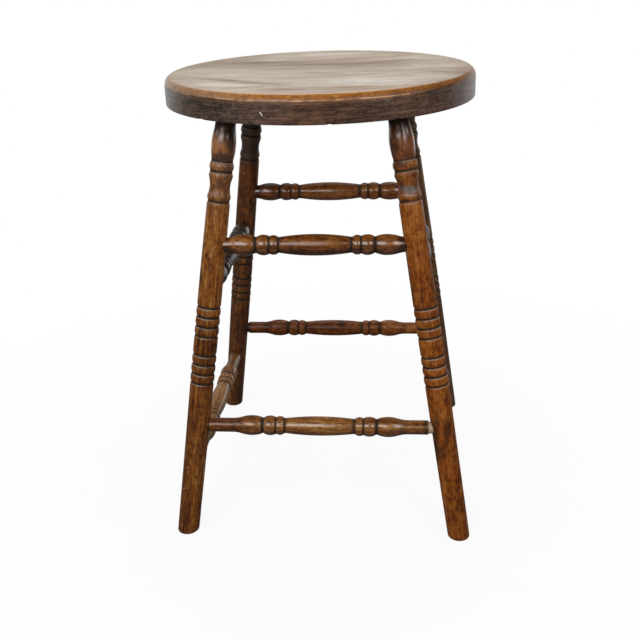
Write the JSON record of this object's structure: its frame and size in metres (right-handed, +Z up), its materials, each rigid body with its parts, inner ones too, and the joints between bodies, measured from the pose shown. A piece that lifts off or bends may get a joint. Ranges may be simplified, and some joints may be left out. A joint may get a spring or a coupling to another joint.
{
  "type": "stool",
  "caption": "Tall wooden stool with a round plank seat on splayed turned legs tied by two tiers of turned rails.",
  "frame": {"origin": "on the floor, under the middle of the seat", "axes": "+Z up; the front faces -Y; +X is to the right of someone who looks at the front"},
  "size_m": [0.415, 0.415, 0.61],
  "materials": {
    "seat_wood": "old stained and varnished plank, worn along the top edge",
    "turned_wood": "red-brown stained turned wood, semi-gloss old varnish, dark grime in the grooves"
  },
  "bodies": {
    "root": {"seat": "seat_wood", "leg_front_left": "turned_wood", "leg_front_right": "turned_wood", "leg_back_left": "turned_wood", "leg_back_right": "turned_wood", "rail_front_upper": "turned_wood", "rail_front_lower": "turned_wood", "rail_back_upper": "turned_wood", "rail_back_lower": "turned_wood", "rail_left_upper": "turned_wood", "rail_left_lower": "turned_wood", "rail_right_upper": "turned_wood", "rail_right_lower": "turned_wood"}
  },
  "joints": []
}
